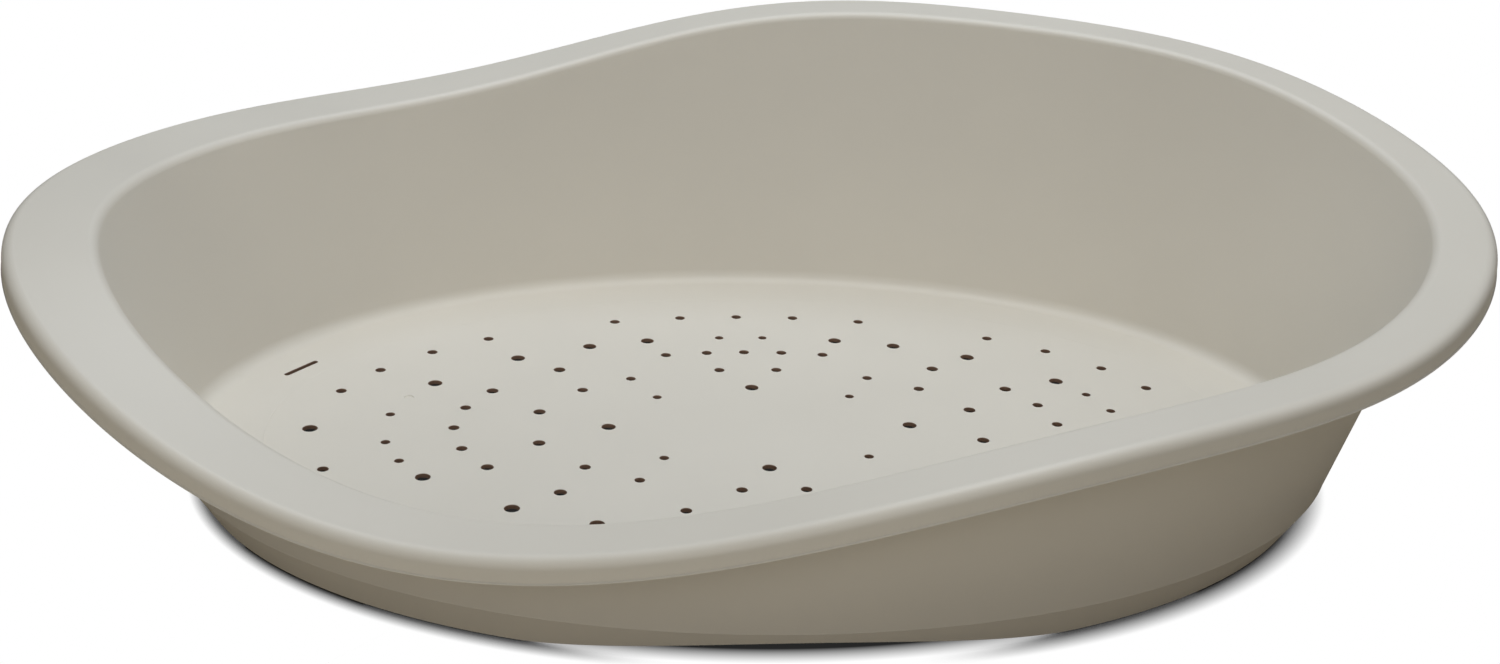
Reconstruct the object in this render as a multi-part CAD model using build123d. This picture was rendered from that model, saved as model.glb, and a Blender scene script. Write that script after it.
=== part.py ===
from build123d import *
import math
import os

# Oval pet bed: one injection-moulded tub with an overturned wavy rim, a raised perforated floor
# and four rubber feet. Millimetres, +Z up. The origin is at the centre of the footprint, on the
# ground. +X is the long axis, -Y is the low front edge and +Y is the high back.

# The oval that everything is offset from: the line where the inner wall would meet the floor.
OVAL_HALF_LENGTH = 284.0
OVAL_HALF_WIDTH = 197.5

# Tub shell
WALL = 2.4                  # wall, flange and lip thickness
FLOOR = 2.4                 # floor thickness
WALL_DRAFT = 15.2           # degrees that the wall leans outwards
FLOOR_FILLET = 9.0          # inside radius between floor and wall

# Rim: its height above the floor at equally spaced directions, from the right-hand end (+X)
# anticlockwise seen from above, and the flange width at right, back, left and front.
RIM_HEIGHTS = (132.5, 145.5, 155.0, 156.5, 147.5, 121.5, 112.0, 113.0,
               112.5, 94.0, 62.0, 55.0, 81.5, 107.0, 112.5, 121.5)
FLANGE_WIDTHS = (28.0, 31.0, 41.0, 31.5)
FLANGE_RISE = 2.0           # the outer edge of the flange stands this much above its inner edge
LIP_DEPTH = 11.0            # how far the lip turns down from the flange
LIP_FLARE = 0.4             # how far the lip leans outwards at its lower edge
INNER_EDGE_RADIUS = 5.5
OUTER_EDGE_RADIUS = 5.5

# Base: the wall ends in a crease, and a band below it turns inwards to the bottom edge.
CREASE_RISE = 2.3           # crease above the floor's top face
SKIRT_DEPTH = 16.0          # bottom edge below the floor's top face
BAND_TAPER = 30.0           # degrees that the band leans inwards
ARCH_HEIGHT = 12.3          # arch cut into the bottom edge at the front and at the back
ARCH_HALF_LENGTH = 121.0
ARCH_FULLNESS = 0.7         # under 1 makes the arch flatter on top

# Rubber feet: L-shaped strips pressed onto the bottom edge near the four corners
FOOT_PAD = 0.8              # height below the bottom edge
FOOT_UPSTAND = 7.0          # height of the leg inside the skirt
FOOT_LEG = 2.2              # thickness of that leg
FOOT_FROM = 28.0            # degrees along the oval, mirrored into each corner
FOOT_TO = 48.0

# Floor holes: ovals of holes, each given by how far it lies inside the floor's oval along X and
# along Y, and its holes by (direction in degrees, diameter). Each hole is mirrored to the four
# quarters of the floor.
HOLE_OVALS = (
    (59.5, 55.8, ((90.0, 5.4), (81.7, 5.4), (71.9, 5.4), (51.4, 5.4), (40.9, 5.4),
                  (29.4, 5.4), (18.0, 5.4), (0.0, 7.5))),
    (95.8, 85.4, ((86.3, 4.6), (73.8, 7.0), (63.3, 7.0), (49.0, 7.3), (28.1, 7.3),
                  (18.6, 4.6), (8.0, 4.6))),
    (130.1, 105.4, ((90.0, 5.4), (82.3, 5.4), (73.7, 5.4), (48.9, 6.1), (27.9, 6.1),
                    (14.5, 5.4), (0.0, 5.4))),
    (168.7, 128.4, ((82.3, 5.4), (56.6, 5.0), (39.3, 5.4), (14.8, 6.1))),
    (207.2, 151.4, ((90.0, 7.0), (48.8, 4.6), (0.0, 7.0))),
)
DIMPLE = (1, 161.4)         # the one hole that stays blind: its oval and its direction
DIMPLE_DEPTH = 0.6
SLOT_DIRECTION = 154.4      # where the slot lies along the floor's oval, in degrees
SLOT_INSET = 23.0           # and how far inside it
SLOT_LENGTH = 23.0
SLOT_WIDTH = 3.0
SLOT_SKEW = 4.5             # degrees between the slot and the oval beside it

# How finely the rings are drawn
RING_POINTS = 64
FILLET_STEPS = 4
FOOT_SECTIONS = 9

FLOOR_TOP = FOOT_PAD + SKIRT_DEPTH
LEAN = math.tan(math.radians(WALL_DRAFT))
SKIN = WALL / math.cos(math.radians(WALL_DRAFT))      # wall thickness measured along an offset
BAND_LEAN = math.tan(math.radians(BAND_TAPER))
BAND_SKIN = WALL / math.cos(math.radians(BAND_TAPER))
CREASE_OFFSET = LEAN * CREASE_RISE + SKIN


def around(values, angle):
    """Smooth closed curve through equally spaced values, by trigonometric interpolation."""
    count = len(values)
    total = sum(values) / count
    for k in range(1, count // 2 + 1):
        share = (1 if 2 * k == count else 2) / count
        for step, value in enumerate(values):
            total += share * value * math.cos(k * (angle - 2 * math.pi * step / count))
    return total


def oval_point(angle, offset, height):
    """The point at a direction, at an offset outwards from the oval and a height over the floor."""
    nx, ny = math.cos(angle) / OVAL_HALF_LENGTH, math.sin(angle) / OVAL_HALF_WIDTH
    size = math.hypot(nx, ny)
    return Vector(
        OVAL_HALF_LENGTH * math.cos(angle) + offset * nx / size,
        OVAL_HALF_WIDTH * math.sin(angle) + offset * ny / size,
        FLOOR_TOP + height,
    )


def rounded(corner, before, after, radius):
    """Points of a fillet at a corner of the section, from the before side to the after side."""
    a = Vector(*before) - Vector(*corner)
    b = Vector(*after) - Vector(*corner)
    a, b = a.normalized(), b.normalized()
    half = math.radians(a.get_angle(b)) / 2
    centre = Vector(*corner) + (a + b).normalized() * (radius / math.sin(half))
    start = Vector(*corner) + a * (radius / math.tan(half)) - centre
    end = Vector(*corner) + b * (radius / math.tan(half)) - centre
    turn = math.radians(start.get_signed_angle(end, Vector(0, 0, 1)))
    points = []
    for step in range(FILLET_STEPS + 1):
        part = turn * step / FILLET_STEPS
        x = start.X * math.cos(part) - start.Y * math.sin(part)
        y = start.X * math.sin(part) + start.Y * math.cos(part)
        points.append((centre.X + x, centre.Y + y))
    return points


def arch(angle):
    """How far the bottom edge is raised by the arches at the front and at the back."""
    x = abs(OVAL_HALF_LENGTH * math.cos(angle))
    if x >= ARCH_HALF_LENGTH:
        return 0.0
    return ARCH_HEIGHT * (0.5 + 0.5 * math.cos(math.pi * x / ARCH_HALF_LENGTH)) ** ARCH_FULLNESS


def band_offset(height):
    return CREASE_OFFSET - (CREASE_RISE - height) * BAND_LEAN


def section(angle):
    """The tub's section at a direction, as (offset, height), from under the floor round to its top."""
    rim = around(RIM_HEIGHTS, angle)
    width = around(FLANGE_WIDTHS, angle)
    slope = FLANGE_RISE / width
    bottom = arch(angle) - SKIRT_DEPTH
    inner = (LEAN * rim, rim)
    outer = (inner[0] + width, rim + FLANGE_RISE)
    under = rim - WALL - slope * inner[0]             # height of the flange's underside at the oval
    wall_top = (under + slope * SKIN) / (1 - slope * LEAN)
    lip_inside = outer[0] - WALL
    lip_end = outer[1] - LIP_DEPTH
    lip_foot = (outer[0] + LIP_FLARE, lip_end)
    points = [
        (band_offset(-FLOOR) - BAND_SKIN, -FLOOR),
        (band_offset(bottom) - BAND_SKIN, bottom),
        (band_offset(bottom), bottom),
        (CREASE_OFFSET, CREASE_RISE),
        (LEAN * wall_top + SKIN, wall_top),
        (lip_inside, under + slope * lip_inside),
        (lip_inside + LIP_FLARE, lip_end),
        lip_foot,
    ]
    points += rounded(outer, lip_foot, inner, OUTER_EDGE_RADIUS)
    points += rounded(inner, outer, (0, 0), INNER_EDGE_RADIUS)
    points += rounded((0, 0), inner, (-1, 0), FLOOR_FILLET)
    return points


def ring(angles, places):
    """A closed spline through one point of the section at every direction."""
    points = [oval_point(a, *p) for a, p in zip(angles, places)]
    steps = [k / len(points) for k in range(len(points) + 1)]
    return Wire([Edge.make_spline(points, periodic=True, parameters=steps)])


def tub_shell():
    """The whole moulding without its holes: rings of the section, joined by ruled faces."""
    angles = [2 * math.pi * k / RING_POINTS for k in range(RING_POINTS)]
    sections = [section(a) for a in angles]
    rings = [ring(angles, places) for places in zip(*sections)]
    skin = Shell.make_loft(rings, ruled=True).faces()
    floor_faces = [Face(rings[0]), Face(rings[-1])]
    return Solid(Shell(Face.sew_faces(skin + floor_faces)[0]))


def drill(x, y, diameter, depth):
    return Pos(x, y, FLOOR_TOP) * Cylinder(diameter / 2, 2 * depth)


def hole_cutters():
    """Cutters for the holes, one of them blind."""
    cutters = []
    for oval, (inset_x, inset_y, holes) in enumerate(HOLE_OVALS):
        for first, diameter in holes:
            for direction in sorted({first, 180 - first, 180 + first, (360 - first) % 360}):
                a = math.radians(direction)
                x = (OVAL_HALF_LENGTH - inset_x) * math.cos(a)
                y = (OVAL_HALF_WIDTH - inset_y) * math.sin(a)
                blind = (oval, round(direction, 1)) == DIMPLE
                depth = DIMPLE_DEPTH if blind else 2 * FLOOR
                cutters.append(drill(x, y, diameter, depth))
    return cutters


def slot_cutter():
    a = math.radians(SLOT_DIRECTION)
    place = oval_point(a, -SLOT_INSET, 0)
    along = math.degrees(math.atan2(-OVAL_HALF_WIDTH * math.cos(a), OVAL_HALF_LENGTH * math.sin(a)))
    cutter = extrude(SlotOverall(SLOT_LENGTH, SLOT_WIDTH), 2 * FLOOR, both=True)
    return Pos(place) * Rot(0, 0, along - SLOT_SKEW) * cutter


def tub():
    return tub_shell() - hole_cutters() - slot_cutter()


def foot(side_x, side_y):
    """One rubber strip: a pad under the bottom edge and a leg up the inside of the skirt."""
    inside = band_offset(-SKIRT_DEPTH) - BAND_SKIN
    top = FOOT_UPSTAND - SKIRT_DEPTH
    lean = FOOT_UPSTAND * BAND_LEAN
    below = -SKIRT_DEPTH - 2 * FOOT_PAD     # the strip is lofted too deep, then cut flat
    outline = (
        (inside - FOOT_LEG, below),
        (band_offset(-SKIRT_DEPTH), below),
        (band_offset(-SKIRT_DEPTH), -SKIRT_DEPTH),
        (inside, -SKIRT_DEPTH),
        (inside + lean, top),
        (inside + lean - FOOT_LEG, top),
        (inside - FOOT_LEG, -SKIRT_DEPTH),
    )
    wires = []
    for k in range(FOOT_SECTIONS):
        a = math.radians(FOOT_FROM + (FOOT_TO - FOOT_FROM) * k / (FOOT_SECTIONS - 1))
        a = math.atan2(side_y * math.sin(a), side_x * math.cos(a))
        wires.append(Wire.make_polygon([oval_point(a, *p) for p in outline]))
    return Solid.make_loft(wires).split(Plane.XY, keep=Keep.TOP)


def main():
    os.makedirs("parts", exist_ok=True)
    nodes = {"tub": tub()}
    middle = nodes["tub"].bounding_box().center()
    for front_back, side_y in (("front", -1), ("back", 1)):
        for left_right, side_x in (("left", -1), ("right", 1)):
            nodes[f"foot_{front_back}_{left_right}"] = foot(side_x, side_y)
    for name, solid in nodes.items():
        export_step(Pos(-middle.X, -middle.Y, 0) * solid, f"parts/{name}.step")


main()
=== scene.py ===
"""Oval moulded pet bed: the visual model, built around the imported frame.

The tub is one moulding: a section is drawn at every direction of the oval, from under the floor
round the rim and back to the floor, and the two faces of the floor are filled in with their
holes. Four rubber strips are pressed onto its bottom edge. Lengths are in metres, +Z is up.
"""
import math

import bpy
from mathutils import Matrix, Vector, geometry, kdtree


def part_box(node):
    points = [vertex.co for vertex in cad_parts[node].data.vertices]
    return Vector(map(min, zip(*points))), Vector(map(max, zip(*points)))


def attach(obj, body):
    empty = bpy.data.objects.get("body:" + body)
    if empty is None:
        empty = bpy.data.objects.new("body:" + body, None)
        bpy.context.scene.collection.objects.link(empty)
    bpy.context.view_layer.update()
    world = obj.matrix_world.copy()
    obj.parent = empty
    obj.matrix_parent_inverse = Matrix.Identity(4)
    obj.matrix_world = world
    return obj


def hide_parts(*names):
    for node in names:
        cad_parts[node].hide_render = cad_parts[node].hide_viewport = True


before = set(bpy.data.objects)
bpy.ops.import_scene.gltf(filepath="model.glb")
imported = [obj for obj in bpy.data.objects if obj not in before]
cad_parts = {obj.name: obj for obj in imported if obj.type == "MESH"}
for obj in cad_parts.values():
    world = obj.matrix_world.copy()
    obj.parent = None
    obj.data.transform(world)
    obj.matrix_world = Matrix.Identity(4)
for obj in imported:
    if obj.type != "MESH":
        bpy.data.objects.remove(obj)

bl_info = {
    "name": "Oval pet bed",
    "version": (1, 0, 0),
    "blender": (4, 5, 0),
    "location": "3D View > Sidebar > Pet bed",
    "description": "Builds a moulded pet bed with a perforated floor and rubber feet",
    "category": "Add Mesh",
}

MM = 0.001
FEET = ("foot_front_left", "foot_front_right", "foot_back_left", "foot_back_right")

# The feet are mirrored about the middle of the oval, and the tub's bottom edge stands on them.
FOOT_BOXES = [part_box(name) for name in FEET]
OVAL_MIDDLE = sum((low + high for low, high in FOOT_BOXES), Vector()) / (2 * len(FEET))
TUB_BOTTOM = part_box("tub")[0].z

# Floor holes: for each oval of holes, how far it lies inside the floor's oval along X and along Y,
# and its holes by (direction in degrees, diameter), mirrored to the four quarters. Millimetres.
HOLE_OVALS = (
    (59.5, 55.8, ((90.0, 5.4), (81.7, 5.4), (71.9, 5.4), (51.4, 5.4), (40.9, 5.4),
                  (29.4, 5.4), (18.0, 5.4), (0.0, 7.5))),
    (95.8, 85.4, ((86.3, 4.6), (73.8, 7.0), (63.3, 7.0), (49.0, 7.3), (28.1, 7.3),
                  (18.6, 4.6), (8.0, 4.6))),
    (130.1, 105.4, ((90.0, 5.4), (82.3, 5.4), (73.7, 5.4), (48.9, 6.1), (27.9, 6.1),
                    (14.5, 5.4), (0.0, 5.4))),
    (168.7, 128.4, ((82.3, 5.4), (56.6, 5.0), (39.3, 5.4), (14.8, 6.1))),
    (207.2, 151.4, ((90.0, 7.0), (48.8, 4.6), (0.0, 7.0))),
)

# The one hole that doesn't go through: which of those ovals it is on, and its direction.
DIMPLE = (1, 161.4)

# The lamps: name, place, side of the square, power in watts, tint. They all face one point.
LAMPS = (
    ("overhead_key", (0.0, 0.1, 1.9), 0.4, 13.0, (0.99, 0.98, 0.94)),
    ("overhead_back", (0.0, 0.8, 1.8), 1.0, 11.4, (0.72, 0.84, 1.0)),
    ("front_fill", (-0.15, -1.9, 1.1), 1.0, 6.2, (0.93, 0.96, 1.0)),
    ("left_fill", (-1.0, -2.0, 0.85), 1.0, 6.6, (1.0, 0.95, 0.84)),
    ("right_fill", (1.6, 0.35, 1.5), 1.0, 4.8, (0.97, 0.98, 1.0)),
)
LAMP_TARGET = (0, 0, 0.1)

# The camera: lens and sensor in millimetres, heading right of +Y, tilt down and roll in degrees,
# and where it stands from the middle of the oval at the height of the floor's top.
CAMERA_LENS, CAMERA_SENSOR = 46.417, 36.0
CAMERA_HEADING, CAMERA_TILT, CAMERA_ROLL = 6.31, 23.279, -2.4775
CAMERA_STAND = (-0.10424, -0.87657, 0.43128)

# What the studio gives: the floor's size, what it gives back to the bed, and the world's own light.
GROUND_REACH = 12.0
GROUND_RETURNED = (0.54, 0.475, 0.37, 1)
WORLD_TINT, WORLD_STRENGTH = (0.97, 0.98, 1.0, 1), 0.04
WHITE = (1, 1, 1, 1)


def length(name, millimetres, description):
    """A length property, given in millimetres."""
    return bpy.props.FloatProperty(
        name=name, description=description, default=millimetres * MM, min=0.0, unit="LENGTH",
        precision=5)


def angle(name, degrees, description):
    return bpy.props.FloatProperty(
        name=name, description=description, default=math.radians(degrees), subtype="ANGLE")


def lengths(name, millimetres, description):
    return bpy.props.FloatVectorProperty(
        name=name, description=description, default=[v * MM for v in millimetres],
        size=len(millimetres), unit="LENGTH", precision=5)


def colour(name, rgb, description):
    return bpy.props.FloatVectorProperty(
        name=name, description=description, default=rgb, size=3, min=0.0, max=1.0, subtype="COLOR")


def amount(name, value, description, low=0.0, high=1.0):
    return bpy.props.FloatProperty(
        name=name, description=description, default=value, min=low, max=high)


class TubSizes(bpy.types.PropertyGroup):
    half_length: length("Half length", 284.0, "Oval where wall and floor meet, along X")
    half_width: length("Half width", 197.5, "Oval where wall and floor meet, along Y")
    wall: length("Wall", 2.4, "Thickness of wall, flange and lip")
    floor: length("Floor", 2.4, "Thickness of the floor")
    draft: angle("Wall draft", 15.2, "How far the wall leans outwards")
    floor_fillet: length("Floor fillet", 9.0, "Inside radius between floor and wall")
    rim_heights: lengths(
        "Rim heights",
        (132.5, 145.5, 155.0, 156.5, 147.5, 121.5, 112.0, 113.0,
         112.5, 94.0, 62.0, 55.0, 81.5, 107.0, 112.5, 121.5),
        "Height of the rim over the floor at equal steps from +X, anticlockwise from above")
    flange_widths: lengths(
        "Flange widths", (28.0, 31.0, 41.0, 31.5), "At the right, the back, the left and the front")
    flange_rise: length("Flange rise", 2.0, "Outer edge of the flange above its inner edge")
    lip_depth: length("Lip depth", 11.0, "How far the lip turns down")
    lip_flare: length("Lip flare", 0.4, "How far the lip leans outwards at its lower edge")
    bead: length("Lip bead", 0.5, "Small bead round the lip's lower edge")
    inner_radius: length("Inner edge radius", 5.5, "Between wall and flange")
    outer_radius: length("Outer edge radius", 5.5, "Between flange and lip")
    crease_rise: length("Crease rise", 2.3, "Crease of the base above the floor")
    ledge: length("Crease ledge", 0.4, "How far the base band stands out at the crease")
    skirt_depth: length("Skirt depth", 16.0, "Bottom edge below the floor")
    taper: angle("Band taper", 30.0, "How far the base band leans inwards")
    arch_height: length("Arch height", 12.3, "Arches in the bottom edge, front and back")
    arch_half_length: length("Arch half length", 121.0, "Half the length of an arch")
    arch_fullness: amount("Arch fullness", 0.7, "Under 1 makes the arch flatter on top", 0.1, 2.0)
    ring_inset_x: length("Floor ring inset X", 38.0, "Fine groove round the floor, at its ends")
    ring_inset_y: length("Floor ring inset Y", 30.0, "The same, at its sides")
    ring_depth: length("Floor ring depth", 0.13, "Depth of that groove")
    hole_edge: length("Hole edge", 0.35, "Radius of the holes' upper edges")
    slot_length: length("Slot length", 23.0, "The one slot in the floor")
    slot_width: length("Slot width", 3.0, "Its width")
    slot_inset: length("Slot inset", 23.0, "How far it lies inside the floor's oval")
    slot_direction: angle("Slot direction", 154.4, "Where it lies along the oval")
    slot_skew: angle("Slot skew", 4.5, "Turn between the slot and the oval beside it")
    dimple_depth: length("Dimple depth", 0.6, "Depth of the one blind hole")
    directions: bpy.props.IntProperty(
        name="Directions", description="Sections drawn round the oval", default=360, min=48)


class FootSizes(bpy.types.PropertyGroup):
    upstand: length("Upstand", 7.0, "Height of the leg inside the skirt")
    leg: length("Leg", 2.2, "Thickness of that leg")
    start: angle("Start", 28.0, "Direction where a strip starts, mirrored into each corner")
    end: angle("End", 48.0, "Direction where it ends")
    edge: length("Edge radius", 0.4, "Radius of the strip's long edges")
    groove: length("Groove depth", 0.35, "Grip grooves under the strip")
    sections: bpy.props.IntProperty(
        name="Sections", description="Sections along each strip", default=48, min=8)


class Finishes(bpy.types.PropertyGroup):
    plastic: colour("Plastic", (0.74, 0.70, 0.622), "Warm light grey of the moulding")
    plastic_shade: colour("Plastic shade", (0.722, 0.683, 0.607), "Its slightly darker cloudiness")
    # painted shade: a dark brown that stands in for the shadow inside the floor's holes
    painted_hole_shadow_colour: colour("Hole walls", (0.32, 0.20, 0.14), "Plastic inside the floor's holes")
    plastic_roughness: amount("Plastic roughness", 0.5, "Roughness of the moulded surface")
    rubber: colour("Rubber", (0.022, 0.021, 0.02), "Black of the rubber")
    rubber_dust: colour("Rubber dust", (0.07, 0.067, 0.062), "Pale dust on the rubber")


# Meshes

class Skin:
    """A growing list of vertices and faces, with how far some vertices lie inside a hole, which
    sets the painted shade on the hole walls.
    """

    def __init__(self):
        self.points = []
        self.faces = []
        self.painted_hole_shade = {}

    def add(self, point):
        self.points.append(point)
        return len(self.points) - 1

    def ring(self, points):
        return [self.add(p) for p in points]

    def band(self, lower, upper):
        """Quads between two closed rings of the same length."""
        for k in range(len(lower)):
            n = (k + 1) % len(lower)
            self.faces.append((lower[k], lower[n], upper[n], upper[k]))

    def piece(self, name, material):
        """The finished object; its attribute of painted shade in the holes is 0 outside the holes
        and 1 inside them.
        """
        mesh = bpy.data.meshes.new(name)
        mesh.from_pydata(self.points, [], self.faces)
        painted_hole_shade = mesh.attributes.new("painted_hole_shade", "FLOAT", "POINT")
        for index, share in self.painted_hole_shade.items():
            painted_hole_shade.data[index].value = share
        mesh.validate()
        mesh.materials.append(material)
        mesh.shade_smooth()
        obj = bpy.data.objects.new(name, mesh)
        bpy.context.scene.collection.objects.link(obj)
        weighted = obj.modifiers.new("flat runs stay flat", "WEIGHTED_NORMAL")
        weighted.mode = "FACE_AREA"
        weighted.keep_sharp = False
        return obj


def around(values, direction):
    """The value at a direction on a smooth closed curve through equally spaced values."""
    count = len(values)
    total = sum(values) / count
    for k in range(1, count // 2 + 1):
        share = (1 if 2 * k == count else 2) / count
        for step, value in enumerate(values):
            total += share * value * math.cos(k * (direction - 2 * math.pi * step / count))
    return total


def rounded(corners, closed=False):
    """An outline from (x, y, radius, arc steps, points on the run that follows) corners."""
    count = len(corners)
    spans = []
    for k, (x, y, radius, steps, _run) in enumerate(corners):
        here = Vector((x, y))
        if radius == 0:
            spans.append([here])
            continue
        a = (Vector(corners[k - 1][:2]) - here).normalized()
        b = (Vector(corners[(k + 1) % count][:2]) - here).normalized()
        half = a.angle(b) / 2
        centre = here + (a + b).normalized() * (radius / math.sin(half))
        start = here + a * (radius / math.tan(half)) - centre
        end = here + b * (radius / math.tan(half)) - centre
        turn = math.atan2(start.x * end.y - start.y * end.x, start.dot(end))
        spans.append([centre + Matrix.Rotation(turn * s / steps, 2) @ start
                      for s in range(steps + 1)])
    points = []
    for k, span in enumerate(spans):
        points += span
        if k < count - 1 or closed:
            far = spans[(k + 1) % count][0]
            run = corners[k][4]
            points += [span[-1].lerp(far, (s + 1) / (run + 1)) for s in range(run)]
    return points


class Shape:
    """The tub's geometry, worked out from its sizes."""

    def __init__(self, sizes):
        self.sizes = sizes
        self.lean = math.tan(sizes.draft)
        self.skin = sizes.wall / math.cos(sizes.draft)
        self.band_lean = math.tan(sizes.taper)
        self.band_skin = sizes.wall / math.cos(sizes.taper)
        self.crease = self.lean * sizes.crease_rise + self.skin
        self.floor_top = TUB_BOTTOM + sizes.skirt_depth

    def at(self, direction, offset, height):
        """The point at a direction, offset outwards from the oval, at a height over the floor."""
        cos, sin = math.cos(direction), math.sin(direction)
        a, b = self.sizes.half_length, self.sizes.half_width
        normal = Vector((cos / a, sin / b)).normalized()
        return Vector((
            OVAL_MIDDLE.x + a * cos + offset * normal.x,
            OVAL_MIDDLE.y + b * sin + offset * normal.y,
            self.floor_top + height))

    def band(self, height):
        """How far the outside of the base band lies from the oval, at a height over the floor."""
        return self.crease - (self.sizes.crease_rise - height) * self.band_lean

    def arch(self, direction):
        """How far the bottom edge is lifted by an arch, at a direction."""
        s = self.sizes
        x = abs(s.half_length * math.cos(direction))
        if x >= s.arch_half_length:
            return 0.0
        swell = 0.5 + 0.5 * math.cos(math.pi * x / s.arch_half_length)
        return s.arch_height * swell ** s.arch_fullness

    def groove(self, direction, spread, height):
        """The point at a direction on the fine oval groove in the floor."""
        s = self.sizes
        return Vector((
            OVAL_MIDDLE.x + (s.half_length - s.ring_inset_x + spread) * math.cos(direction),
            OVAL_MIDDLE.y + (s.half_width - s.ring_inset_y + spread) * math.sin(direction),
            self.floor_top + height))

    def section(self, direction):
        """The moulding's outline at a direction, from under the floor round to the floor's top."""
        s = self.sizes
        rim = around(s.rim_heights, direction)
        width = around(s.flange_widths, direction)
        slope = s.flange_rise / width
        bottom = self.arch(direction) - s.skirt_depth
        inner = self.lean * rim
        outer, outer_top = inner + width, rim + s.flange_rise
        under = rim - s.wall - slope * inner
        wall_top = (under + slope * self.skin) / (1 - slope * self.lean)
        lip_inside = outer - s.wall
        lip_end = outer_top - s.lip_depth
        foot = outer + s.lip_flare
        skirt = self.band(-s.floor) - self.band_skin
        ledge_top = s.crease_rise + s.ledge / self.band_lean
        above_ledge = ledge_top + 0.6 * s.ledge
        return rounded((
            # under the floor, then down the inside of the base band
            (skirt - 4 * MM, -s.floor, 0, 0, 0),
            (skirt, -s.floor, 1.5 * MM, 4, 1),
            # the bottom edge
            (self.band(bottom) - self.band_skin, bottom, 0.6 * MM, 3, 0),
            (self.band(bottom), bottom, 0.7 * MM, 4, 3),
            # the crease's ledge, then up the outside of the wall
            (self.crease + s.ledge, ledge_top, 0.3 * MM, 3, 0),
            (self.lean * above_ledge + self.skin, above_ledge, 0.3 * MM, 3, 12),
            # under the flange, then down the inside of the lip
            (self.lean * wall_top + self.skin, wall_top, 2.0 * MM, 5, 5),
            (lip_inside, under + slope * lip_inside, s.outer_radius - s.wall, 6, 1),
            # the lip's lower edge and its bead, then up the outside of the lip
            (lip_inside + s.lip_flare, lip_end, 0.5 * MM, 3, 0),
            (foot + s.bead, lip_end, 0.3 * s.bead, 3, 0),
            (foot + s.bead, lip_end + 0.7 * s.bead, 0.2 * s.bead, 2, 1),
            (foot, lip_end + 1.8 * s.bead, 0.3 * s.bead, 2, 2),
            # over the flange, down the inside of the wall and out onto the floor
            (outer, outer_top, s.outer_radius, 12, 6),
            (inner, rim, s.inner_radius, 10, 16),
            (0, 0, s.floor_fillet, 12, 1),
            (-s.floor_fillet, 0, 0, 0, 0),
        ))


class Opening:
    """A round hole in the floor, a slot when it has a straight run, blind when it has a depth."""

    FEWEST_CORNERS, SLOT_CORNERS = 24, 32
    CORNER_STEP = 0.45 * MM
    EDGE_STEPS = 3

    def __init__(self, centre, width, run=0.0, turn=0.0, depth=None):
        self.centre, self.radius = centre, width / 2
        self.half_run, self.turn, self.depth = run / 2, turn, depth
        self.count = self.SLOT_CORNERS if run else max(
            self.FEWEST_CORNERS, 2 * round(width / self.CORNER_STEP))

    def loop(self, spread, height):
        """The opening's outline, spread outwards, as points anticlockwise from above."""
        spin = Matrix.Rotation(self.turn, 3, "Z")
        radius = self.radius + spread
        points = []
        for k in range(self.count):
            a = 2 * math.pi * k / self.count
            p = Vector((radius * math.cos(a), radius * math.sin(a), height))
            p.x += math.copysign(self.half_run, p.x)
            points.append(spin @ p + Vector((self.centre.x, self.centre.y, 0)))
        return points

    def rings(self, skin, top, underside, edge):
        """Its rings of vertices from the floor's top downwards, over a rounded upper edge.

        A blind one ends with a ring inside its flat bottom, and any other at the underside, where
        its edge is half as rounded.
        """
        quarter = [0.5 * math.pi * k / self.EDGE_STEPS for k in range(self.EDGE_STEPS + 1)]
        rings = [skin.ring(self.loop(edge * (1 - math.sin(a)), top - edge * (1 - math.cos(a))))
                 for a in quarter]
        if self.depth is None:
            lower = 0.5 * edge
            rings += [skin.ring(self.loop(lower * (1 - math.cos(a)),
                                          underside + lower * (1 - math.sin(a))))
                      for a in quarter]
        else:
            rings += [skin.ring(self.loop(-inset, top - self.depth))
                      for inset in (0.1 * MM, 0.4 * MM)]
        for above, below in zip(rings, rings[1:]):
            skin.band(above, below)
        return rings


def floor_openings(shape):
    """Every opening in the floor: the ovals of holes, in all four quarters, then the slot."""
    s = shape.sizes
    found = []
    for oval, (inset_x, inset_y, holes) in enumerate(HOLE_OVALS):
        for first, diameter in holes:
            for degrees in sorted({first, 180 - first, 180 + first, (360 - first) % 360}):
                a = math.radians(degrees)
                centre = OVAL_MIDDLE.xy + Vector((
                    (s.half_length - inset_x * MM) * math.cos(a),
                    (s.half_width - inset_y * MM) * math.sin(a)))
                blind = (oval, round(degrees, 1)) == DIMPLE
                depth = s.dimple_depth if blind else None
                found.append(Opening(centre, diameter * MM, depth=depth))
    a = s.slot_direction
    along = math.atan2(-s.half_width * math.cos(a), s.half_length * math.sin(a)) - s.slot_skew
    centre = shape.at(a, -s.slot_inset, 0).xy
    found.append(Opening(centre, s.slot_width, s.slot_length - s.slot_width, along))
    return found


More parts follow.
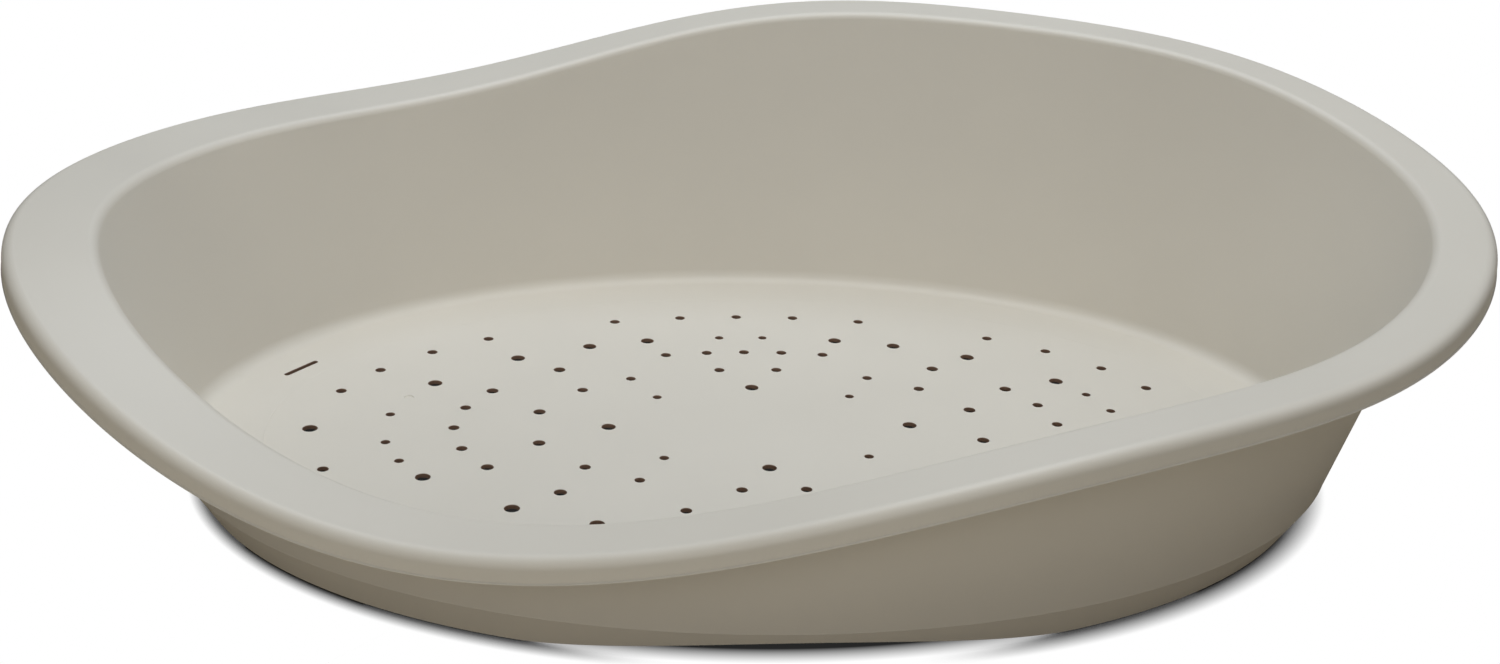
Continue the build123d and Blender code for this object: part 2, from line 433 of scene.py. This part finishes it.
def fill_face(skin, rim, loops, height, upwards):
    """Triangles over one flat face of the floor, between its rim and the loops left open in it.

    The corners are the rim's and the loops' vertices, and new ones on a loose grid between them.
    """
    step, gap = 9 * MM, 2.5 * MM
    inside_only, tolerance = 1, 1e-7
    flat, keys, outlines = [], [], []
    for loop in [rim] + loops:
        outlines.append(list(range(len(flat), len(flat) + len(loop))))
        flat += [skin.points[i].xy for i in loop]
        keys += loop
    near = kdtree.KDTree(len(flat))
    for k, place in enumerate(flat):
        near.insert(place.to_3d(), k)
    near.balance()
    columns, rows = (int(max(abs(p[k] - OVAL_MIDDLE[k]) for p in flat) / step) for k in (0, 1))
    for row in range(-rows, rows + 1):
        for column in range(-columns, columns + 1):
            place = OVAL_MIDDLE.xy + Vector(((column + 0.5 * (row % 2)) * step, row * step))
            if near.find(place.to_3d())[2] > gap:
                flat.append(place)
                keys.append(None)
    _points, _edges, faces, origins, _edge_origins, owners = geometry.delaunay_2d_cdt(
        flat, [], outlines, inside_only, tolerance)
    for face, owner in zip(faces, owners):
        if owner != [0]:  # it lies in a loop as well as in the rim
            continue
        corners = [origins[i][0] for i in face]
        for k in corners:
            if keys[k] is None:
                keys[k] = skin.add(flat[k].to_3d() + Vector((0, 0, height)))
        corners = [keys[k] for k in corners]
        skin.faces.append(tuple(corners if upwards else reversed(corners)))


def build_tub(sizes, material):
    """The whole moulding as one closed mesh: its outline all round, the openings and the floor."""
    shape = Shape(sizes)
    skin = Skin()
    turns = [2 * math.pi * k / sizes.directions for k in range(sizes.directions)]
    sections = [shape.section(a) for a in turns]
    rows = [skin.ring([shape.at(a, *p) for a, p in zip(turns, places)])
            for places in zip(*sections)]
    for lower, upper in zip(rows, rows[1:]):
        skin.band(lower, upper)
    top, underside = shape.floor_top, shape.floor_top - sizes.floor
    upper_loops, lower_loops = [], []
    for opening in floor_openings(shape):
        rings = opening.rings(skin, top, underside, sizes.hole_edge)
        upper_loops.append(rings[0])
        if opening.depth is None:
            lower_loops.append(rings[-1])
            # painted shade: the hole walls are coloured darker from where the rounded upper edge
            # turns into the wall, in place of the shadow inside the holes
            for ring in rings[opening.EDGE_STEPS:-1]:
                skin.painted_hole_shade.update(dict.fromkeys(ring, 1.0))
            skin.painted_hole_shade.update(dict.fromkeys(rings[opening.EDGE_STEPS - 1], 0.4))
        else:
            skin.faces.append(tuple(rings[-1]))
    half, border = 2.5 * sizes.ring_depth, 0.5 * MM
    outline = rounded((
        (half + border, 0, 0, 0, 0), (half, 0, 0.4 * MM, 2, 0),
        (0, -sizes.ring_depth, 0.5 * MM, 3, 0),
        (-half, 0, 0.4 * MM, 2, 0), (-half - border, 0, 0, 0, 0)))
    grooves = [skin.ring([shape.groove(a, *p) for a in turns]) for p in outline]
    for outer, inner in zip(grooves, grooves[1:]):
        skin.band(outer, inner)
    fill_face(skin, rows[-1], upper_loops + [grooves[0]], top, upwards=True)
    fill_face(skin, grooves[-1], upper_loops, top, upwards=True)
    fill_face(skin, rows[0], lower_loops, underside, upwards=False)
    return skin.piece("tub_moulding", material)


def build_foot(name, tub_sizes, sizes, side_x, side_y, material):
    """One rubber strip: a grooved pad under the bottom edge and a leg up inside the skirt.

    Its outline is drawn at every section, and shrinks a little towards its middle at both ends.
    """
    shape = Shape(tub_sizes)
    base = -tub_sizes.skirt_depth
    sole = base - TUB_BOTTOM
    outside = shape.band(base)
    inside = outside - shape.band_skin
    back = inside - sizes.leg
    top = sizes.upstand - tub_sizes.skirt_depth
    lean = sizes.upstand * shape.band_lean
    r = sizes.edge
    groove_places = (0.3, 0.6)
    end_share, end_scale = 0.02, 0.75
    corners = [(back, sole, r, 3, 0)]
    for share in groove_places:
        middle = back + share * (outside - back)
        corners += [
            (middle - sizes.groove, sole, 0.1 * MM, 2, 0),
            (middle, sole + sizes.groove, 0.15 * MM, 2, 0),
            (middle + sizes.groove, sole, 0.1 * MM, 2, 0),
        ]
    corners += [
        (outside, sole, r, 3, 0),
        (outside, base, 0.5 * r, 3, 1),
        (inside, base, 0, 0, 4),
        (inside + lean, top, r, 3, 0),
        (inside + lean - sizes.leg, top, r, 3, 4),
        (back, base, r, 3, 0),
    ]
    outline = rounded(corners, closed=True)
    centre = Vector((back + 0.5 * sizes.leg, base))
    skin = Skin()
    rows = []
    span = sizes.end - sizes.start
    for k in range(sizes.sections + 1):
        share = k / sizes.sections
        near = min(share, 1 - share) / end_share
        shrink = 1.0 if near >= 1 else math.sqrt(max(0.0, 1 - (1 - near) ** 2))
        scale = end_scale + (1 - end_scale) * shrink
        a = sizes.start + span * share
        a = math.atan2(side_y * math.sin(a), side_x * math.cos(a))
        places = [centre + (p - centre) * scale for p in outline]
        rows.append(skin.ring([shape.at(a, max(p.x, back), max(p.y, sole)) for p in places]))
    mirrored = side_x * side_y > 0
    for one, two in zip(rows, rows[1:]):
        skin.band(*((two, one) if mirrored else (one, two)))
    skin.faces.append(tuple(rows[0] if mirrored else reversed(rows[0])))
    skin.faces.append(tuple(reversed(rows[-1]) if mirrored else rows[-1]))
    return skin.piece(name, material)


# Materials

def node(tree, kind, **inputs):
    """A node with its plain inputs set by name."""
    made = tree.nodes.new(kind)
    for key, value in inputs.items():
        made.inputs[key.replace("_", " ")].default_value = value
    return made


def feed(tree, socket, source):
    """Gives a socket a plain value, or links another node's output to it."""
    if isinstance(source, bpy.types.NodeSocket):
        tree.links.new(source, socket)
    else:
        socket.default_value = source


def calculated(tree, operation, first, second):
    """The result of a Math node on two values."""
    made = tree.nodes.new("ShaderNodeMath")
    made.operation = operation
    feed(tree, made.inputs[0], first)
    feed(tree, made.inputs[1], second)
    return made.outputs["Value"]


def map_range(tree, source, from_range=(0.0, 1.0), to_range=(0.0, 1.0)):
    """A socket's value mapped from one range onto another, and held at its ends."""
    made = tree.nodes.new("ShaderNodeMapRange")
    for label, value in zip(("From Min", "From Max", "To Min", "To Max"), (*from_range, *to_range)):
        made.inputs[label].default_value = value
    tree.links.new(source, made.inputs["Value"])
    return made.outputs["Result"]


def mixed_colour(tree, share, first, second):
    """The first colour where the share is 0, the second where it is 1, and between them."""
    made = tree.nodes.new("ShaderNodeMix")
    made.data_type = "RGBA"
    sockets = {socket.identifier: socket for socket in made.inputs}
    feed(tree, sockets["Factor_Float"], share)
    feed(tree, sockets["A_Color"], first)
    feed(tree, sockets["B_Color"], second)
    return next(socket for socket in made.outputs if socket.identifier == "Result_Color")


def seen_or_given(tree, seen, given):
    """One shader for what the camera sees directly, and another for the light it gives."""
    path = tree.nodes.new("ShaderNodeLightPath")
    choose = tree.nodes.new("ShaderNodeMixShader")
    tree.links.new(path.outputs["Is Camera Ray"], choose.inputs["Fac"])
    tree.links.new(given.outputs[0], choose.inputs[1])
    tree.links.new(seen.outputs[0], choose.inputs[2])
    return choose.outputs["Shader"]


def grain_group():
    """Fine moulded grain: a height for bump, and a slow cloudiness for colour and roughness."""
    name = "Moulded grain"
    if name in bpy.data.node_groups:
        return bpy.data.node_groups[name]
    tree = bpy.data.node_groups.new(name, "ShaderNodeTree")
    for label, default in (("Grain size", 0.6 * MM), ("Cloud size", 90 * MM)):
        made = tree.interface.new_socket(label, in_out="INPUT", socket_type="NodeSocketFloat")
        made.default_value = default
    for label in ("Height", "Cloud", "Speckle"):
        tree.interface.new_socket(label, in_out="OUTPUT", socket_type="NodeSocketFloat")
    entry = tree.nodes.new("NodeGroupInput")
    leave = tree.nodes.new("NodeGroupOutput")
    where = tree.nodes.new("ShaderNodeTexCoord")

    def noise(size, detail, roughness):
        """Noise whose features are as large as the size on the socket."""
        made = node(tree, "ShaderNodeTexNoise", Detail=detail, Roughness=roughness)
        tree.links.new(where.outputs["Object"], made.inputs["Vector"])
        tree.links.new(calculated(tree, "DIVIDE", 1.0, size), made.inputs["Scale"])
        return made.outputs["Fac"]

    grain = noise(entry.outputs["Grain size"], detail=3.0, roughness=0.55)
    cloud = noise(entry.outputs["Cloud size"], detail=2.0, roughness=0.5)
    pits = map_range(tree, grain, from_range=(0.35, 0.7))
    drift = map_range(tree, cloud, from_range=(0.3, 0.7))
    tree.links.new(pits, leave.inputs["Height"])
    tree.links.new(drift, leave.inputs["Cloud"])
    tree.links.new(calculated(tree, "MULTIPLY", pits, drift), leave.inputs["Speckle"])
    return tree


def moulded_material(name, light, dark, painted_shade_colour, roughness, grain, cloud, depth, specular):
    """A moulded surface: cloudy colour, painted shade in the holes, uneven sheen and a fine grain.
    """
    material = bpy.data.materials.new(name)
    material.use_nodes = True
    tree = material.node_tree
    tree.nodes.clear()
    out = tree.nodes.new("ShaderNodeOutputMaterial")
    shader = tree.nodes.new("ShaderNodeBsdfPrincipled")
    shader.inputs["Specular IOR Level"].default_value = specular
    tree.links.new(shader.outputs["BSDF"], out.inputs["Surface"])
    group = tree.nodes.new("ShaderNodeGroup")
    group.node_tree = grain_group()
    group.inputs["Grain size"].default_value = grain
    group.inputs["Cloud size"].default_value = cloud
    painted_hole_shade = tree.nodes.new("ShaderNodeAttribute")
    painted_hole_shade.attribute_name = "painted_hole_shade"
    cloudy = mixed_colour(tree, group.outputs["Cloud"], (*dark, 1), (*light, 1))
    # painted shade: the hole walls are coloured dark brown where the shadow inside the holes falls
    shaded = mixed_colour(tree, painted_hole_shade.outputs["Fac"], cloudy, (*painted_shade_colour, 1))
    tree.links.new(shaded, shader.inputs["Base Color"])
    sheen = map_range(tree, group.outputs["Speckle"], to_range=(roughness - 0.04, roughness + 0.06))
    tree.links.new(sheen, shader.inputs["Roughness"])
    bump = node(tree, "ShaderNodeBump", Strength=1.0, Distance=depth)
    tree.links.new(group.outputs["Height"], bump.inputs["Height"])
    tree.links.new(bump.outputs["Normal"], shader.inputs["Normal"])
    return material


def plastic_material(finish):
    return moulded_material(
        "Moulded plastic", finish.plastic, finish.plastic_shade, finish.painted_hole_shadow_colour,
        roughness=finish.plastic_roughness,
        grain=0.7 * MM, cloud=90 * MM, depth=0.012 * MM, specular=0.4)


def rubber_material(finish):
    # the rubber takes no painted hole shade: its colour for it is its own black
    return moulded_material(
        "Foot rubber", finish.rubber, finish.rubber_dust, finish.rubber, roughness=0.7,
        grain=0.5 * MM, cloud=6 * MM, depth=0.03 * MM, specular=0.3)


# Operators

class PETBED_OT_tub(bpy.types.Operator):
    """Build the moulded tub with its rim, perforated floor and base band"""
    bl_idname = "petbed.tub"
    bl_label = "Tub"

    def execute(self, context):
        scene = context.scene
        tub = build_tub(scene.petbed_tub, plastic_material(scene.petbed_finish))
        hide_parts("tub")
        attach(tub, "root")
        return {"FINISHED"}


class PETBED_OT_feet(bpy.types.Operator):
    """Build the four rubber strips under the tub's corners"""
    bl_idname = "petbed.feet"
    bl_label = "Rubber feet"

    def execute(self, context):
        scene = context.scene
        material = rubber_material(scene.petbed_finish)
        for name in FEET:
            side_x = -1 if name.endswith("left") else 1
            side_y = -1 if "front" in name else 1
            strip = build_foot(name + "_strip", scene.petbed_tub, scene.petbed_feet,
                               side_x, side_y, material)
            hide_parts(name)
            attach(strip, "root")
        return {"FINISHED"}


def area_light(name, place, side, power, tint):
    """A square lamp at a place, facing the bed."""
    data = bpy.data.lights.new(name, "AREA")
    data.shape = "SQUARE"
    data.size = side
    data.energy = power
    data.color = tint
    lamp = bpy.data.objects.new(name, data)
    lamp.location = place
    lamp.rotation_mode = "QUATERNION"
    lamp.rotation_quaternion = (Vector(LAMP_TARGET) - lamp.location).to_track_quat("-Z", "Y")
    bpy.context.scene.collection.objects.link(lamp)


def floor_material(sizes):
    """Plain white floor with a tight contact shadow painted into its glow; it is painted dark under
    the bed.

    What the floor gives back to the bed is softer and warmer than the white that is seen.
    """
    shape = Shape(sizes)
    edge = shape.band(-sizes.skirt_depth)
    material = bpy.data.materials.new("Studio floor")
    material.use_nodes = True
    tree = material.node_tree
    tree.nodes.clear()
    out = tree.nodes.new("ShaderNodeOutputMaterial")

    # Places on the floor, measured in the oval of the bottom edge: its middle is 0, its line is 1.
    where = tree.nodes.new("ShaderNodeTexCoord")
    oval = tree.nodes.new("ShaderNodeMapping")
    oval.vector_type = "TEXTURE"
    oval.inputs["Location"].default_value = (OVAL_MIDDLE.x, OVAL_MIDDLE.y, 0)
    oval.inputs["Scale"].default_value = (sizes.half_length + edge, sizes.half_width + edge, 1)
    tree.links.new(where.outputs["Object"], oval.inputs["Vector"])
    reach = tree.nodes.new("ShaderNodeVectorMath")
    reach.operation = "LENGTH"
    tree.links.new(oval.outputs["Vector"], reach.inputs[0])
    split = tree.nodes.new("ShaderNodeSeparateXYZ")
    tree.links.new(oval.outputs["Vector"], split.inputs["Vector"])

    # The painted shadow beside the bed, from an ambient occlusion node, grows wider from its left
    # end to its right end.
    near = tree.nodes.new("ShaderNodeAmbientOcclusion")
    near.samples = 24
    spread = map_range(tree, split.outputs["X"], (-1.0, 1.0), (7 * MM, 13 * MM))
    tree.links.new(spread, near.inputs["Distance"])
    beside = map_range(tree, near.outputs["AO"], (0.28, 0.90), (0.03, 1.0))
    # painted shade: inside the oval of the bottom edge the floor's glow fades to nearly black
    under = map_range(tree, reach.outputs["Value"], (0.95, 1.01), (0.02, 1.0))
    seen = tree.nodes.new("ShaderNodeEmission")
    tree.links.new(calculated(tree, "MULTIPLY", beside, under), seen.inputs["Strength"])
    given = node(tree, "ShaderNodeBsdfDiffuse", Color=GROUND_RETURNED)
    tree.links.new(seen_or_given(tree, seen, given), out.inputs["Surface"])
    return material


def studio_world():
    """White where it is seen, and a faint even light on the bed."""
    world = bpy.data.worlds.new("Studio")
    world.use_nodes = True
    tree = world.node_tree
    tree.nodes.clear()
    out = tree.nodes.new("ShaderNodeOutputWorld")
    seen = node(tree, "ShaderNodeBackground", Color=WHITE, Strength=1.0)
    given = node(tree, "ShaderNodeBackground", Color=WORLD_TINT, Strength=WORLD_STRENGTH)
    tree.links.new(seen_or_given(tree, seen, given), out.inputs["Surface"])
    return world


def studio_camera(floor_top):
    """The camera, standing where the constants say from the middle of the floor's top."""
    data = bpy.data.cameras.new("camera")
    data.sensor_fit = "HORIZONTAL"
    data.sensor_width = CAMERA_SENSOR
    data.lens = CAMERA_LENS
    data.clip_start = 0.01
    yaw, pitch, roll = (math.radians(v) for v in (CAMERA_HEADING, CAMERA_TILT, CAMERA_ROLL))
    forward = Vector((math.sin(yaw) * math.cos(pitch), math.cos(yaw) * math.cos(pitch),
                      -math.sin(pitch)))
    level = Vector((math.cos(yaw), -math.sin(yaw), 0))
    down = forward.cross(level)
    right = math.cos(roll) * level + math.sin(roll) * down
    down = -math.sin(roll) * level + math.cos(roll) * down
    turned = Matrix((right, -down, -forward)).transposed()
    stand = Vector((OVAL_MIDDLE.x, OVAL_MIDDLE.y, floor_top)) + Vector(CAMERA_STAND)
    camera = bpy.data.objects.new("camera", data)
    camera.matrix_world = Matrix.Translation(stand) @ turned.to_4x4()
    return camera


class PETBED_OT_stage(bpy.types.Operator):
    """Lay the pale floor, and set the soft studio light and the camera"""
    bl_idname = "petbed.stage"
    bl_label = "Stage"

    def execute(self, context):
        scene = context.scene
        mesh = bpy.data.meshes.new("studio_floor")
        corners = [(x * GROUND_REACH, y * GROUND_REACH, 0)
                   for x, y in ((-1, -1), (1, -1), (1, 1), (-1, 1))]
        mesh.from_pydata(corners, [], [(0, 1, 2, 3)])
        mesh.materials.append(floor_material(scene.petbed_tub))
        ground = bpy.data.objects.new("studio_floor", mesh)
        scene.collection.objects.link(ground)

        scene.world = studio_world()
        for lamp in LAMPS:
            area_light(*lamp)
        camera = studio_camera(Shape(scene.petbed_tub).floor_top)
        scene.collection.objects.link(camera)
        scene.camera = camera
        scene.view_settings.view_transform = "Standard"
        return {"FINISHED"}


class PETBED_PT_panel(bpy.types.Panel):
    """Sizes, finishes and builders of the pet bed"""
    bl_idname = "PETBED_PT_panel"
    bl_label = "Pet bed"
    bl_space_type = "VIEW_3D"
    bl_region_type = "UI"
    bl_category = "Pet bed"

    def draw(self, context):
        for group in GROUPS:
            settings = getattr(context.scene, group)
            box = self.layout.box()
            for key in settings.__annotations__:
                box.prop(settings, key)
        for operator in OPERATORS:
            self.layout.operator(operator.bl_idname)


GROUPS = {"petbed_tub": TubSizes, "petbed_feet": FootSizes, "petbed_finish": Finishes}
OPERATORS = (PETBED_OT_tub, PETBED_OT_feet, PETBED_OT_stage)


def register():
    for group in GROUPS.values():
        bpy.utils.register_class(group)
    for name, group in GROUPS.items():
        setattr(bpy.types.Scene, name, bpy.props.PointerProperty(type=group))
    for kind in (*OPERATORS, PETBED_PT_panel):
        bpy.utils.register_class(kind)


def unregister():
    for kind in (PETBED_PT_panel, *reversed(OPERATORS)):
        bpy.utils.unregister_class(kind)
    for name in GROUPS:
        delattr(bpy.types.Scene, name)
    for group in GROUPS.values():
        bpy.utils.unregister_class(group)


def main():
    register()
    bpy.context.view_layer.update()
    bpy.ops.petbed.tub()
    bpy.ops.petbed.feet()
    bpy.ops.petbed.stage()


if __name__ == "__main__":
    main()
